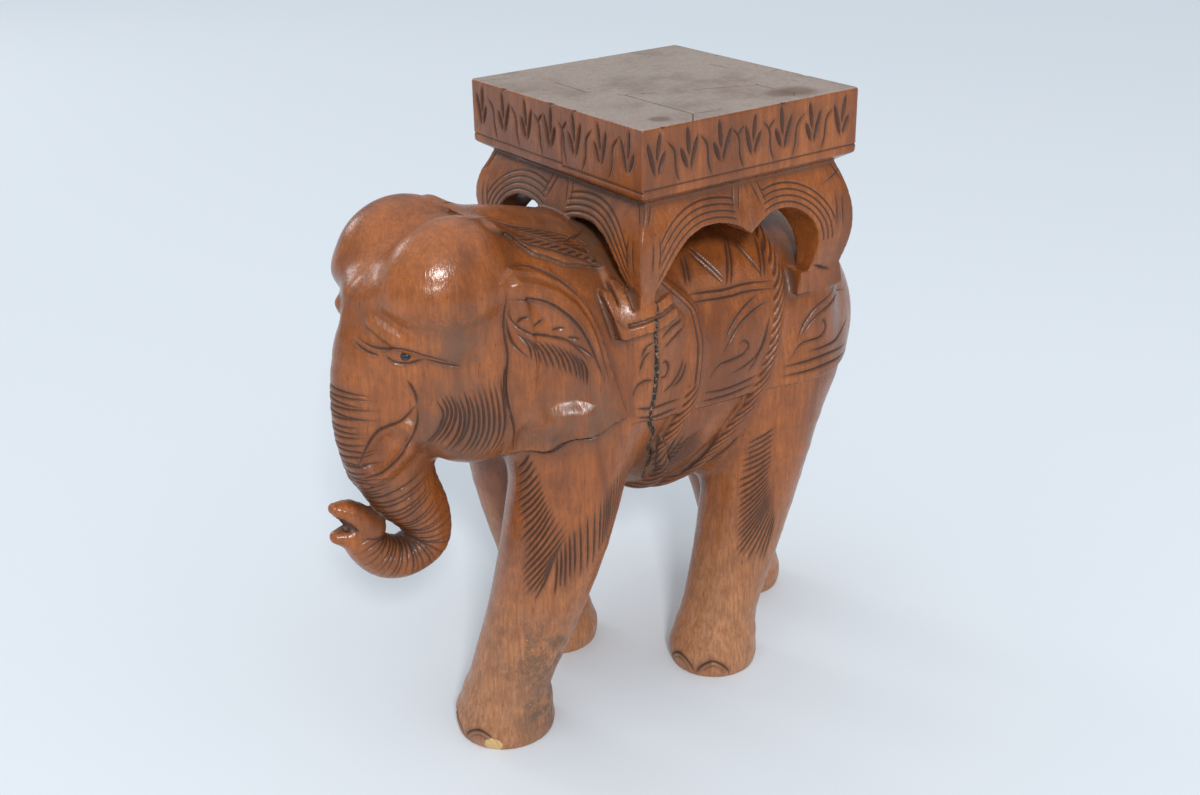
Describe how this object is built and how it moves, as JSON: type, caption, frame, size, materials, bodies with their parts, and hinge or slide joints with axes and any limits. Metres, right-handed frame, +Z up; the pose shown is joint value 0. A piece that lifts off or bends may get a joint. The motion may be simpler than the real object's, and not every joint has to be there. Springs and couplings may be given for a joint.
{
  "type": "carved wooden elephant stand",
  "caption": "Carved hardwood elephant in a walking pose with a saddle cloth and ropes, carrying a square top on four scroll legs and pierced aprons.",
  "frame": {"origin": "middle of the whole piece's box, on the ground under the elephant", "axes": "+Z up out of the square top, the elephant faces -Y, its left side is +X"},
  "size_m": [0.252, 0.5572, 0.56],
  "materials": {
    "carved_wood": "polished, warm orange-brown, dusty in the hollows",
    "eye_bead": "glossy near-black bead"
  },
  "bodies": {
    "root": {"elephant_stand": "carved_wood", "eye_bead_left": "eye_bead", "eye_bead_right": "eye_bead"}
  },
  "joints": []
}
